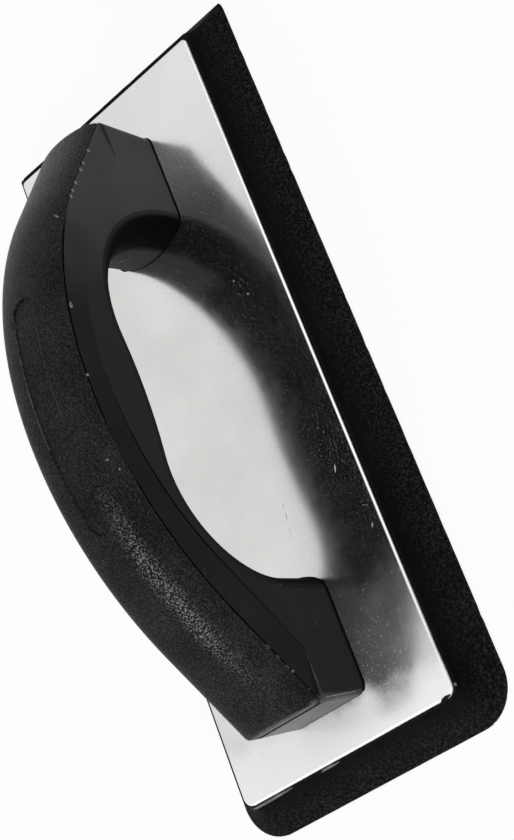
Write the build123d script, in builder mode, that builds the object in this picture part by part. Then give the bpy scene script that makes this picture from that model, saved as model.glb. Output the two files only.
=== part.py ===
"""Rubber grout float: flared rubber pad, steel backing plate and a two-shell bow handle.

Frame: origin at the centre of the sole's underside, +X to the toe, +Z up. Millimetres.
"""

from build123d import *
import math
import os

os.makedirs("parts", exist_ok=True)

# ---------------------------------------------------------------- driving dimensions

# Rubber pad: a block whose four sides flare out, slightly hollowed, to the sole
SOLE_LENGTH = 241.3
SOLE_WIDTH = 100.6
PAD_THICKNESS = 11.5
PAD_FLARE = 9.5             # how far the sole runs out past the pad's top, on every side
PAD_EDGE_LAND = 1.3         # upright edge left at the foot of the flared sides
FLANK_HOLLOW = 1.2          # how far the flared sides are hollowed below a straight bevel
FLANK_STATIONS = 5          # outlines that the flared sides are lofted through
SOLE_HEEL_RADIUS = 13.0
SOLE_TOE_RADIUS = 1.2
PAD_TOP_HEEL_RADIUS = 3.4
PAD_TOP_TOE_RADIUS = 0.9

# Adhesive film and steel backing plate
FILM_THICKNESS = 0.3
FILM_INSET = 0.5            # film held back from the plate's edge
PLATE_THICKNESS = 1.2
PLATE_LEDGE = 0.45          # rubber showing round the plate on the pad's top
PLATE_HEEL_RADIUS = 3.0
PLATE_TOE_RADIUS = 1.4

# Handle, seen from the side (heights are above the plate)
HANDLE_LENGTH = 189.6       # over the two feet, at the plate
HANDLE_SHIFT = -3.3         # handle's middle, from the sole's middle
END_LEAN = 1.7              # the end faces lean out by this much over a foot's height
FOOT_HEIGHT = 20.1          # plate to the corner where seam and foot meet
HEEL_FOOT_LENGTH = 31.6
TOE_FOOT_LENGTH = 29.7
RAMP_ANGLE = 38.8           # slope of the back up from each end
ARCH_HEIGHT = 48.0          # lowest point of the finger gap's side edge
GRIP_DEPTH = 18.6           # from there up to the seam between the two handle shells
CREASE_CROWN_DROP = 6.4     # crease along the handle's sides, below the seam at the crown
CREASE_DROP = 9.6           # crease below the seam on the ramps, square to them
ARCH_SAG_RADIUS = 155.0     # the gap's roof swells down a little, on this radius
ARCH_SAG_SHIFT = -0.7       # middle of that swell, from the handle's middle
ARCH_HEEL_SPRING = 13.4     # foot's inner face stands upright up to here
ARCH_TOE_SPRING = 4.2

# Handle, in section
BODY_HALF_WIDTH = 14.5      # at the crease and feet
SEAM_HALF_WIDTH = 13.3
UNDERSIDE_SWELL = 7.4       # rounded underside and inner faces of the feet
SWELL_ROOT = 1.0            # how far the swell is sunk into the bow it stands on
BACK_SWELL = 5.3            # domed back above the seam
BACK_SHIFT = 1.4            # dome set this much towards the heel, so it stands fuller there
FOOT_CORNER_RADIUS = 3.0
BODY_WALL = 2.6             # lower shell's side walls at the seam
BASE_WALL = 3.0             # lower shell's floors, end walls and underside
RIB_THICKNESS = 1.8
RIB_COUNT = 5
PROFILE_MARGIN = 12.0       # profiles run on this far past the ends, and the envelope trims them

# Back shell of the handle
SEAM_GAP = 0.12             # between the two shells' rims
SHELL_THICKNESS = 2.3
LIP_THICKNESS = 1.3         # tongues inside the lower shell's walls
LIP_CLEARANCE = 0.2
SHELL_END_ROUND = 2.0
PANEL_LENGTH = 73.0         # plain recessed panel on the back
PANEL_WIDTH = 8.2
PANEL_DEPTH = 0.5
PANEL_SHIFT = -2.0          # panel's middle, from the handle's middle

# Screws up through the plate into the feet, with right-angled countersunk heads
SCREW_DIAMETER = 3.5
SCREW_HEAD_DIAMETER = 6.8
SCREW_HEAD_LAND = 0.4
SCREW_LENGTH = 15.0         # above the plate's underside
SCREW_POINT = 3.0
SCREW_CLEARANCE = 0.05      # round the shank and under the head
SCREW_SEAT_DIAMETER = 6.0   # countersink at the plate's underside
CROSS_WIDTH = 1.1
CROSS_SPAN = 3.8
CROSS_DEPTH = 1.3
BOSS_DIAMETER = 8.4
BOSS_PITCH = 14.0           # between a foot's two screws
BOSS_END_MARGIN = 9.5       # outer screw, from the handle's end
BOSS_CROWN = 2.0            # boss left above the screw's point
HEAD_CLEARANCE = 0.4        # round the heads in film and pad

# ---------------------------------------------------------------- derived levels and points

PAD_TOP = PAD_THICKNESS
PLATE_BOTTOM = PAD_TOP + FILM_THICKNESS
DECK = PLATE_BOTTOM + PLATE_THICKNESS
PLATE_LENGTH = SOLE_LENGTH - 2 * (PAD_FLARE + PLATE_LEDGE)
PLATE_WIDTH = SOLE_WIDTH - 2 * (PAD_FLARE + PLATE_LEDGE)

HEEL_X = HANDLE_SHIFT - HANDLE_LENGTH / 2
TOE_X = HANDLE_SHIFT + HANDLE_LENGTH / 2
FOOT_TOP = DECK + FOOT_HEIGHT
SEAM_CROWN_HEIGHT = ARCH_HEIGHT + GRIP_DEPTH
HALF_RUN = HANDLE_LENGTH / 2 + END_LEAN
PROFILE_END = HALF_RUN + PROFILE_MARGIN
RAMP_COSINE = math.cos(math.radians(RAMP_ANGLE))
RAMP_SINE = math.sin(math.radians(RAMP_ANGLE))
RAMP_SLOPE = RAMP_SINE / RAMP_COSINE
HOLLOW_HALF_WIDTH = SEAM_HALF_WIDTH - BODY_WALL
LIP_DEPTH = BASE_WALL - 2 * LIP_CLEARANCE

SCREWS = {
    "screw_heel_outer": HEEL_X + BOSS_END_MARGIN,
    "screw_heel_inner": HEEL_X + BOSS_END_MARGIN + BOSS_PITCH,
    "screw_toe_inner": TOE_X - BOSS_END_MARGIN - BOSS_PITCH,
    "screw_toe_outer": TOE_X - BOSS_END_MARGIN,
}
SCREW_SPOTS = [(x, 0) for x in SCREWS.values()]
SCREW_TIP = PLATE_BOTTOM + SCREW_LENGTH
HEAD_DROP = (SCREW_HEAD_DIAMETER - SCREW_SEAT_DIAMETER) / 2 + SCREW_HEAD_LAND + SCREW_CLEARANCE
HEAD_HOLE_RADIUS = SCREW_HEAD_DIAMETER / 2 + HEAD_CLEARANCE


def hump(crown_height, drop):
    """Apex and crown radius of a ramp-arc-ramp line, dropped square to the ramps."""
    apex_z = FOOT_TOP + HALF_RUN * RAMP_SLOPE - drop / RAMP_COSINE
    radius = (apex_z - DECK - crown_height) / (1 / RAMP_COSINE - 1)
    return Vector(HANDLE_SHIFT, apex_z), radius


CREASE_RUN = HALF_RUN - CREASE_DROP / RAMP_SINE  # where the crease leaves the foot's level top


def hump_edges(apex, radius, corner, end, end_z):
    """Line over the handle in five edges: end run, ramp, crown, ramp, end run."""
    shoulder = radius * RAMP_SINE
    heel_end, heel_corner, heel_shoulder, toe_shoulder, toe_corner, toe_end = [
        (apex.X + reach, z)
        for reach, z in [
            (-end, end_z),
            (-corner, apex.Y - corner * RAMP_SLOPE),
            (-shoulder, apex.Y - shoulder * RAMP_SLOPE),
            (shoulder, apex.Y - shoulder * RAMP_SLOPE),
            (corner, apex.Y - corner * RAMP_SLOPE),
            (end, end_z),
        ]
    ]
    Line(heel_end, heel_corner)
    Line(heel_corner, heel_shoulder)
    RadiusArc(heel_shoulder, toe_shoulder, radius)
    Line(toe_shoulder, toe_corner)
    Line(toe_corner, toe_end)
    return heel_end, toe_end


# Edge of the finger gap: two upright foot faces, two corners and a roof that sags between them
ARCH_HEEL_X = HEEL_X + HEEL_FOOT_LENGTH
ARCH_TOE_X = TOE_X - TOE_FOOT_LENGTH
SAG_CENTRE = Vector(HANDLE_SHIFT + ARCH_SAG_SHIFT, DECK + ARCH_HEIGHT + ARCH_SAG_RADIUS)


def roof_touch(foot_x, spring, wall):
    """Where the corner rising from a foot's inner face meets the roof."""
    sag_radius = ARCH_SAG_RADIUS - wall
    reach = abs(foot_x - SAG_CENTRE.X)
    rise = SAG_CENTRE.Y - DECK - spring
    radius = (reach**2 + rise**2 - sag_radius**2) / (2 * (sag_radius + reach))
    inward = math.copysign(radius, SAG_CENTRE.X - foot_x)
    centre = Vector(foot_x + inward, DECK + spring)
    touch = centre + (SAG_CENTRE - centre).normalized() * radius
    return touch.X, touch.Y


def arch_edges(wall):
    """The finger gap's edge from heel foot to toe foot, or a line a wall inside the shell."""
    heel_x = ARCH_HEEL_X - wall
    toe_x = ARCH_TOE_X + wall
    heel_touch = roof_touch(heel_x, ARCH_HEEL_SPRING, wall)
    toe_touch = roof_touch(toe_x, ARCH_TOE_SPRING, wall)
    heel_face = Line((heel_x, DECK + wall), (heel_x, DECK + ARCH_HEEL_SPRING))
    heel_corner = TangentArc(heel_face @ 1, heel_touch, tangent=heel_face % 1)
    roof = TangentArc(heel_touch, toe_touch, tangent=heel_corner % 1)
    toe_corner = TangentArc(toe_touch, (toe_x, DECK + ARCH_TOE_SPRING), tangent=roof % 1)
    Line(toe_corner @ 1, (toe_x, DECK + wall))


def bow_outline(apex, radius, corner, end, end_z, floor_z):
    """The bow's side outline with the finger gap still filled."""
    with BuildLine() as outline:
        heel_end, toe_end = hump_edges(apex, radius, corner, end, end_z)
        Polyline(toe_end, (toe_end[0], floor_z), (heel_end[0], floor_z), heel_end)
    make_face(outline.edges())


def seam_outline():
    """Filled side outline up to the seam, which runs on level past the ends."""
    apex, radius = hump(SEAM_CROWN_HEIGHT, 0)
    bow_outline(apex, radius, HALF_RUN, PROFILE_END, FOOT_TOP, DECK)


def crease_outline():
    """Filled side outline up to the crease, which is level over the feet."""
    apex, radius = hump(SEAM_CROWN_HEIGHT - CREASE_CROWN_DROP, CREASE_DROP)
    bow_outline(apex, radius, CREASE_RUN, PROFILE_END, FOOT_TOP, DECK)


def under_seam(rise, end, floor_z):
    """Filled side outline up to a line that follows the seam, with straight ramps to its ends."""
    apex, radius = hump(SEAM_CROWN_HEIGHT + rise, -rise)
    half_way = (radius * RAMP_SINE + end) / 2
    bow_outline(apex, radius, half_way, end, apex.Y - end * RAMP_SLOPE, floor_z)


def arch_outline(wall, mode):
    """The finger gap's side outline, or that outline grown by a wall."""
    with BuildLine() as outline:
        arch_edges(wall)
        Line(outline.line @ 1, outline.line @ 0)
    make_face(outline.edges(), mode=mode)


def swell_plane(path):
    """Plane square to the finger gap's edge at the heel foot, with local X into the gap."""
    return Plane(origin=path @ 0, x_dir=(1, 0, 0), z_dir=path % 0)


def swell_section(half_width):
    """Half ellipse standing on the finger gap's edge, with a root sunk into the bow."""
    Ellipse(UNDERSIDE_SWELL, half_width)
    Rectangle(
        2 * UNDERSIDE_SWELL,
        2 * half_width,
        align=(Align.MIN, Align.CENTER),
        mode=Mode.INTERSECT,
    )
    Rectangle(SWELL_ROOT, 2 * half_width, align=(Align.MAX, Align.CENTER))


# ---------------------------------------------------------------- rubber pad


def flank_inset(share):
    """Inset of the flared side at a share of its height."""
    rise = PAD_THICKNESS - PAD_EDGE_LAND
    chord = math.hypot(PAD_FLARE, rise)
    hollow_here = 4 * FLANK_HOLLOW * share * (1 - share)
    return PAD_FLARE * share + hollow_here * chord / rise


def pad_outline(inset, share):
    """Sole outline drawn in by an inset, with corners that tighten towards the top."""
    Rectangle(SOLE_LENGTH - 2 * inset, SOLE_WIDTH - 2 * inset)
    toe_radius = SOLE_TOE_RADIUS + (PAD_TOP_TOE_RADIUS - SOLE_TOE_RADIUS) * share
    heel_radius = SOLE_HEEL_RADIUS + (PAD_TOP_HEEL_RADIUS - SOLE_HEEL_RADIUS) * share
    fillet(vertices().group_by(Axis.X)[-1], toe_radius)
    fillet(vertices().group_by(Axis.X)[0], heel_radius)


with BuildPart() as rubber_sole:
    with BuildSketch(Plane.XY):
        pad_outline(0, 0)
    extrude(amount=PAD_EDGE_LAND)
    for station in range(FLANK_STATIONS):
        share = station / (FLANK_STATIONS - 1)
        level = PAD_EDGE_LAND + share * (PAD_THICKNESS - PAD_EDGE_LAND)
        with BuildSketch(Plane.XY.offset(level)):
            pad_outline(flank_inset(share), share)
    loft()
    with BuildSketch(Plane.XY.offset(PAD_TOP)):
        with Locations(*SCREW_SPOTS):
            Circle(HEAD_HOLE_RADIUS)
    extrude(amount=FILM_THICKNESS - HEAD_DROP - HEAD_CLEARANCE, mode=Mode.SUBTRACT)
rubber_sole.part.label = "rubber_sole"
export_step(rubber_sole.part, "parts/rubber_sole.step")

# ---------------------------------------------------------------- adhesive film


def plate_outline(inset):
    """Plate outline drawn in by an inset."""
    Rectangle(PLATE_LENGTH - 2 * inset, PLATE_WIDTH - 2 * inset)
    fillet(vertices().group_by(Axis.X)[-1], PLATE_TOE_RADIUS)
    fillet(vertices().group_by(Axis.X)[0], PLATE_HEEL_RADIUS)


with BuildPart() as adhesive_film:
    with BuildSketch(Plane.XY.offset(PAD_TOP)):
        plate_outline(FILM_INSET)
        with Locations(*SCREW_SPOTS):
            Circle(HEAD_HOLE_RADIUS, mode=Mode.SUBTRACT)
    extrude(amount=FILM_THICKNESS)
adhesive_film.part.label = "adhesive_film"
export_step(adhesive_film.part, "parts/adhesive_film.step")

# ---------------------------------------------------------------- backing plate

with BuildPart() as backing_plate:
    with BuildSketch(Plane.XY.offset(PLATE_BOTTOM)):
        plate_outline(0)
    extrude(amount=PLATE_THICKNESS)
    with Locations(Plane(origin=(0, 0, PLATE_BOTTOM), x_dir=(1, 0, 0), z_dir=(0, 0, -1))):
        with Locations(*SCREW_SPOTS):
            CounterSinkHole(
                radius=SCREW_DIAMETER / 2 + SCREW_CLEARANCE,
                counter_sink_radius=SCREW_SEAT_DIAMETER / 2,
                depth=PLATE_THICKNESS,
                counter_sink_angle=90,
            )
backing_plate.part.label = "backing_plate"
export_step(backing_plate.part, "parts/backing_plate.step")

# ---------------------------------------------------------------- handle, shapes both shells share

# Everything the handle may fill: end faces that lean out, with rounded upright corners
with BuildPart() as envelope:
    for height in (0, 2 * SEAM_CROWN_HEIGHT):
        lean = END_LEAN * height / FOOT_HEIGHT
        with BuildSketch(Plane.XY.offset(DECK + height)):
            with Locations((HANDLE_SHIFT, 0)):
                RectangleRounded(HANDLE_LENGTH + 2 * lean, 2 * BODY_HALF_WIDTH, FOOT_CORNER_RADIUS)
    loft()

# The lower shell's hollow: a channel that stops a wall short of the seam, and its swell
with BuildPart() as channel:
    with BuildSketch(Plane.XZ):
        under_seam(-BASE_WALL, HANDLE_LENGTH / 2 - BASE_WALL, DECK + BASE_WALL)
        arch_outline(BASE_WALL, Mode.SUBTRACT)
    extrude(amount=HOLLOW_HALF_WIDTH, both=True)
    with BuildLine(Plane.XZ) as hollow_path:
        arch_edges(BASE_WALL)
    with BuildSketch(swell_plane(hollow_path.line)):
        swell_section(HOLLOW_HALF_WIDTH)
    sweep(path=hollow_path.line)

# ---------------------------------------------------------------- handle, lower shell

with BuildPart() as ribs:
    with Locations((HANDLE_SHIFT, 0, DECK)):
        with GridLocations((ARCH_TOE_X - ARCH_HEEL_X) / RIB_COUNT, 1, RIB_COUNT, 1):
            Box(RIB_THICKNESS, 2 * BODY_HALF_WIDTH, 4 * SEAM_CROWN_HEIGHT)
    add(channel.part, mode=Mode.INTERSECT)

with BuildPart() as handle_body:
    with BuildSketch(Plane.XZ):
        seam_outline()
    extrude(amount=SEAM_HALF_WIDTH)
    with BuildSketch(Plane.XZ.offset(SEAM_HALF_WIDTH)):
        seam_outline()
    with BuildSketch(Plane.XZ.offset(BODY_HALF_WIDTH)):
        crease_outline()
    loft(ruled=True)
    mirror(about=Plane.XZ)
    with BuildSketch(Plane.XZ):
        arch_outline(0, Mode.ADD)
    extrude(amount=2 * BODY_HALF_WIDTH, both=True, mode=Mode.SUBTRACT)
    with BuildLine(Plane.XZ) as arch_path:
        arch_edges(0)
    with BuildSketch(swell_plane(arch_path.line)):
        swell_section(BODY_HALF_WIDTH)
    sweep(path=arch_path.line)
    add(envelope.part, mode=Mode.INTERSECT)
    add(channel.part, mode=Mode.SUBTRACT)
    add(Pos(0, 0, BASE_WALL / RAMP_COSINE) * channel.part, mode=Mode.SUBTRACT)
    add(ribs.part)
    with Locations((0, 0, DECK)):
        with Locations(*SCREW_SPOTS):
            Cylinder(
                BOSS_DIAMETER / 2,
                SCREW_TIP + BOSS_CROWN - DECK,
                align=(Align.CENTER, Align.CENTER, Align.MIN),
            )
            Cylinder(
                SCREW_DIAMETER / 2 + SCREW_CLEARANCE,
                SCREW_TIP + BOSS_CROWN / 2 - DECK,
                align=(Align.CENTER, Align.CENTER, Align.MIN),
                mode=Mode.SUBTRACT,
            )
handle_body.part.label = "handle_body"
export_step(handle_body.part, "parts/handle_body.step")

# ---------------------------------------------------------------- handle, back shell


def seam_edges(start):
    """The seam's ramp, crown and ramp, from a distance along the ramps inside the ends."""
    apex, radius = hump(SEAM_CROWN_HEIGHT, 0)
    end = HALF_RUN - start * RAMP_COSINE
    shoulder = radius * RAMP_SINE
    heel_ramp = Line(
        (apex.X - end, apex.Y - end * RAMP_SLOPE),
        (apex.X - shoulder, apex.Y - shoulder * RAMP_SLOPE),
    )
    crown = RadiusArc(heel_ramp @ 1, (apex.X + shoulder, apex.Y - shoulder * RAMP_SLOPE), radius)
    Line(crown @ 1, (apex.X + end, apex.Y - end * RAMP_SLOPE))


def section_plane(path):
    """Plane square to the seam at its heel end: local X across the handle, local Y outwards."""
    return Plane(origin=path @ 0, x_dir=(0, 1, 0), z_dir=path % 0)


def half_dome(half_width, rise, mode=Mode.ADD):
    """Upper half of an ellipse standing on the seam."""
    with BuildSketch(mode=Mode.PRIVATE) as dome:
        Ellipse(half_width, rise)
        Rectangle(2 * half_width, rise, align=(Align.CENTER, Align.MAX), mode=Mode.SUBTRACT)
    add(dome.sketch, mode=mode)


LIP_HALF_WIDTH = HOLLOW_HALF_WIDTH - LIP_CLEARANCE
LIP_START = 2 * BASE_WALL + LIP_DEPTH

# The domed back, carried along the seam's line, with a root below it
with BuildPart() as dome:
    with BuildLine(Plane.XZ) as dome_path:
        seam_edges(HALF_RUN - PROFILE_END)
    with BuildSketch(section_plane(dome_path.line)):
        half_dome(SEAM_HALF_WIDTH, BACK_SWELL)
        Rectangle(2 * SEAM_HALF_WIDTH, 2 * BACK_SHIFT, align=(Align.CENTER, Align.MAX))
    sweep(path=dome_path.line)

# A skin of the panel's depth all over the dome, cut down to the panel's outline
with BuildPart() as panel_cut:
    with BuildLine(Plane.XZ) as panel_path:
        seam_edges(0)
    with BuildSketch(section_plane(panel_path.line)):
        half_dome(SEAM_HALF_WIDTH + PANEL_DEPTH, BACK_SWELL + PANEL_DEPTH)
        half_dome(SEAM_HALF_WIDTH - PANEL_DEPTH, BACK_SWELL - PANEL_DEPTH, Mode.SUBTRACT)
    sweep(path=panel_path.line)
    with BuildSketch(Plane.XY.offset(DECK)):
        with Locations((HANDLE_SHIFT + PANEL_SHIFT, 0)):
            SlotOverall(PANEL_LENGTH, PANEL_WIDTH)
    extrude(amount=4 * SEAM_CROWN_HEIGHT, mode=Mode.INTERSECT)

with BuildPart() as handle_back:
    add(Pos(-BACK_SHIFT, 0, 0) * dome.part)
    with BuildSketch(Plane.XZ):
        under_seam(SEAM_GAP, PROFILE_END, DECK)
    extrude(amount=BODY_HALF_WIDTH, both=True, mode=Mode.SUBTRACT)
    add(envelope.part, mode=Mode.INTERSECT)
    end_faces = faces().filter_by(GeomType.PLANE).sort_by(Axis.X)
    rim_edges = end_faces[0].edges() + end_faces[-1].edges()
    fillet(rim_edges.filter_by(GeomType.LINE, reverse=True), SHELL_END_ROUND)
    with BuildLine(Plane.XZ) as lip_path:
        seam_edges(LIP_START)
    with BuildSketch(section_plane(lip_path.line)):
        half_dome(LIP_HALF_WIDTH - LIP_THICKNESS, BACK_SWELL - SHELL_THICKNESS)
    sweep(path=lip_path.line, mode=Mode.SUBTRACT)
    with BuildSketch(section_plane(lip_path.line)):
        with Locations((LIP_THICKNESS / 2 - LIP_HALF_WIDTH, 0), (LIP_HALF_WIDTH - LIP_THICKNESS / 2, 0)):
            Rectangle(LIP_THICKNESS, 2 * LIP_DEPTH)
        with Locations((0, SEAM_GAP + LIP_CLEARANCE)):
            Rectangle(
                2 * SEAM_HALF_WIDTH,
                2 * LIP_DEPTH,
                align=(Align.CENTER, Align.MIN),
                mode=Mode.SUBTRACT,
            )
    sweep(path=lip_path.line)
    add(Pos(-BACK_SHIFT, 0, 0) * panel_cut.part, mode=Mode.SUBTRACT)
handle_back.part.label = "handle_back"
export_step(handle_back.part, "parts/handle_back.step")

# ---------------------------------------------------------------- screws

with BuildPart() as screw:
    with BuildSketch(Plane.XZ):
        with BuildLine() as screw_side:
            head_radius = SCREW_HEAD_DIAMETER / 2
            shank_radius = SCREW_DIAMETER / 2
            Polyline(
                (0, 0),
                (head_radius, 0),
                (head_radius, SCREW_HEAD_LAND),
                (shank_radius, SCREW_HEAD_LAND + head_radius - shank_radius),
                (shank_radius, HEAD_DROP + SCREW_LENGTH - SCREW_POINT),
                (0, HEAD_DROP + SCREW_LENGTH),
                close=True,
            )
        make_face()
    revolve(axis=Axis.Z)
    Box(CROSS_SPAN, CROSS_WIDTH, 2 * CROSS_DEPTH, mode=Mode.SUBTRACT)
    Box(CROSS_WIDTH, CROSS_SPAN, 2 * CROSS_DEPTH, mode=Mode.SUBTRACT)

for name, x in SCREWS.items():
    placed = Pos(x, 0, PLATE_BOTTOM - HEAD_DROP) * screw.part
    placed.label = name
    export_step(placed, f"parts/{name}.step")
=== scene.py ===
"""Looks of the rubber grout float: black rubber pad, satin steel plate, black bow handle."""

import math

import bmesh
import bpy
from mathutils import Matrix, Vector, noise
from mathutils.bvhtree import BVHTree


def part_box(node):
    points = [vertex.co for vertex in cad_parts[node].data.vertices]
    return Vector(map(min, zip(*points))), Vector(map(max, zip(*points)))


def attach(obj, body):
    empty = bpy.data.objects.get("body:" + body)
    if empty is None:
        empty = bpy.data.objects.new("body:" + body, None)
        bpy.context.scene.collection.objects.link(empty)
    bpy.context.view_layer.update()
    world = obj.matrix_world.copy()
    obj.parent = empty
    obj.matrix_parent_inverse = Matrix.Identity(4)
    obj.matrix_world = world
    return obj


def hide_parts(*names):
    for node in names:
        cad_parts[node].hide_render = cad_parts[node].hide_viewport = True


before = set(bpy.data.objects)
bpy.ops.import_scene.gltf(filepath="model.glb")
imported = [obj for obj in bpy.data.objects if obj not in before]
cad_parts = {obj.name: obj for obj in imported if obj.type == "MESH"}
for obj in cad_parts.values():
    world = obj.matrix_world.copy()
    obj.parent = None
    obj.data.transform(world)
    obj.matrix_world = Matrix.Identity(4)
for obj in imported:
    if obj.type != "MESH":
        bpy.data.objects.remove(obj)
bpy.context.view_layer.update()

MM = 0.001
ROOT = "root"

# ---------------------------------------------------------------- sizes

# Rubber pad
SOLE_HEEL_RADIUS = 13.0 * MM
HEEL_ARC_STEPS = 14
SOLE_TOE_RADIUS = 1.0 * MM
PAD_LEDGE = 0.6 * MM         # rubber showing round the plate
PAD_LAND = 1.3 * MM          # upright edge at the foot of the flanks
FLANK_HOLLOW = 1.2 * MM      # how far the flanks curve in, at half their height
FLANK_STATIONS = 6           # steps that draw the curve
TOE_LEDGE_EXTRA = 1.8 * MM   # the toe's top rim stands out this much further
RIM_ROUND = 0.22 * MM        # the pad's top rim, rubbed round
FOOT_ROUND = 0.4 * MM        # the sole's edge, rubbed round
PAD_GRID = 2.2 * MM          # spacing of the cuts that let the wear show
PAD_WANDER = 0.1 * MM        # how far the moulded flanks stray from true
PAD_WANDER_RUN = 11 * MM     # over about this length
PAD_NICK = 0.45 * MM         # scale of the nicks' depth in a worn edge
PAD_NICK_RUN = 1.9 * MM      # about the length of one
PAD_NICK_START = 0.25        # noise below this leaves no nick

# Plate
PLATE_EDGE_ROUND = 0.6 * MM  # upper edge, rolled by the shears
PLATE_RIM = 5 * MM           # the outer edges lie inside this margin, the screw holes don't

# Lower shell
FOOT_BEAD = 0.45 * MM        # height of the bead round each foot, along the plate; its black is painted contact shadow
FOOT_BEAD_REACH = 0.6 * MM   # how far it stands out
HEEL_BEAD_SHARE = 0.3        # how much of that reach is left across the heel's end
SCREW_REACH = 3 * MM         # the screws' holes lie inside this, from a screw's axis
LIP_SHADOW = 1.6 * MM          # painted shadow: a matt black band under the back shell's lip, on the heel's end face
LEDGE_ROUND = 0.3 * MM       # edge of the little ledge at each foot's shoulder
LEDGE_DROP = 0.14 * MM       # from the back shell's lowest edge down to the ledge
SEAM_NEAR_END = 0.6 * MM     # the seam's edges lie inside this at either end,
SEAM_NEAR_SIDE = 0.1 * MM    # and this near the back shell's side
SEAM_HALF_WIDTH = 0.3 * MM
SEAM_DEPTH = 0.5 * MM        # the parting line's notch
SEAM_END_DEPTH = 2 * SEAM_DEPTH
SEAM_END_REACH = 1 * MM      # how near the heel's end it is that deep
SEAM_FILLED = 60 * MM        # from here to the toe flash fills the notch
SEAM_FADE = 15 * MM          # length over which it fills
SEAM_LEAST = 0.15            # share of the depth left where it is filled
CREASE_HALF_WIDTH = 0.3 * MM
CREASE_DEPTH = 1.0 * MM      # at the heel
CREASE_END = 5 * MM          # place along the handle where it has faded out
CREASE_FADE = 50 * MM        # length over which it fades

# Back shell
SHELL_EDGE_ROUND = 0.25 * MM
RIM_NEAR_SIDE = 0.6 * MM     # its long rims lie this near the sides,
RIM_START = 4 * MM           # and start this far from the heel's end
HEEL_LIP = 0.7 * MM          # rolled lip at the heel end
LIP_LENGTH, LIP_HEIGHT = 2.2 * MM, 1.4 * MM   # the lip's edges lie this near the lowest corner
PANEL_ROUND = 0.3 * MM       # the panel's rim
PANEL_HALF_WIDTH = 5 * MM    # the panel lies inside this,
PANEL_DROP = 7 * MM          # and no lower than this under the crown
RIM_HIGHLIGHT_NEAR = (-12 * MM, 25 * MM)   # stretch of the rim painted grey as highlight, on the near side
RIM_HIGHLIGHT_FAR = (-18 * MM, 27 * MM)    # and on the far side

# Lamps, world and camera
FILL_LEVEL = 0.7             # the world's light; as the camera or a reflection sees it, it is 1
FLOOR_REACH = 4.0            # metres from the float to the floor's edge
FLOOR_GLOW = 0.9             # how much of the floor is plain white; the rest keeps the shadow
KEY_PLACE = Vector((-0.98, 0.40, 0.75))
KEY_POWER = 5.0
KEY_SIZE = 0.5
END_PLACE = Vector((-1.2, 0.05, 0.3))
END_POWER = 3.0
END_SIZE = 0.5
SIDE_PLACE = Vector((0.48, -0.96, 0.70))
SIDE_POWER = 1.8
SIDE_SIZE = 0.55
LAMP_AIM = Vector((0.0, 0.0, 0.04))
CAMERA_LENS = 78.3176        # focal length in mm, for a sensor 36 mm long
CAMERA_PLACE = Vector((-0.20666, -0.29907, 0.42477))
CAMERA_AXES = (              # the camera's right, its up, and straight back from its view
    Vector((-0.34102, -0.68874, -0.63980)),
    Vector((0.86686, -0.49369, 0.06941)),
    Vector((-0.36367, -0.53094, 0.76540)),
)

# ---------------------------------------------------------------- materials: helpers

# Settings that many nodes share
MULTIPLY = {"operation": "MULTIPLY"}
MULTIPLY_ADD = {"operation": "MULTIPLY_ADD"}
MAXIMUM = {"operation": "MAXIMUM"}
ABSOLUTE = {"operation": "ABSOLUTE"}
EASED = {"interpolation_type": "SMOOTHSTEP"}
COLOURS = {"data_type": "RGBA"}


def linear(hex_code):
    """An sRGB hex colour as linear RGBA."""
    channels = [int(hex_code[i : i + 2], 16) / 255 for i in (1, 3, 5)]
    return [c / 12.92 if c <= 0.04045 else ((c + 0.055) / 1.055) ** 2.4 for c in channels] + [1.0]


def add(tree, kind, settings=None, stops=(), **inputs):
    """One node with its settings and ramp stops. An input is a value or another node's socket.

    An input's name is the socket's, with _ for a space, or i and its number.
    """
    node = tree.nodes.new(kind)
    for name, value in (settings or {}).items():
        setattr(node, name, value)
    for position, colour in stops[2:]:
        node.color_ramp.elements.new(position)
    for element, (position, colour) in zip(node.color_ramp.elements if stops else (), stops):
        element.position = position
        element.color = linear(colour)
    for name, value in inputs.items():
        key = int(name[1:]) if name[1:].isdigit() else name.replace("_", " ")
        if isinstance(value, bpy.types.NodeSocket):
            tree.links.new(value, node.inputs[key])
        else:
            node.inputs[key].default_value = value
    return node


def new_material(name):
    """An empty material and its tree."""
    material = bpy.data.materials.new(name)
    material.use_nodes = True
    material.node_tree.nodes.clear()
    return material, material.node_tree


# ---------------------------------------------------------------- materials


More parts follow.
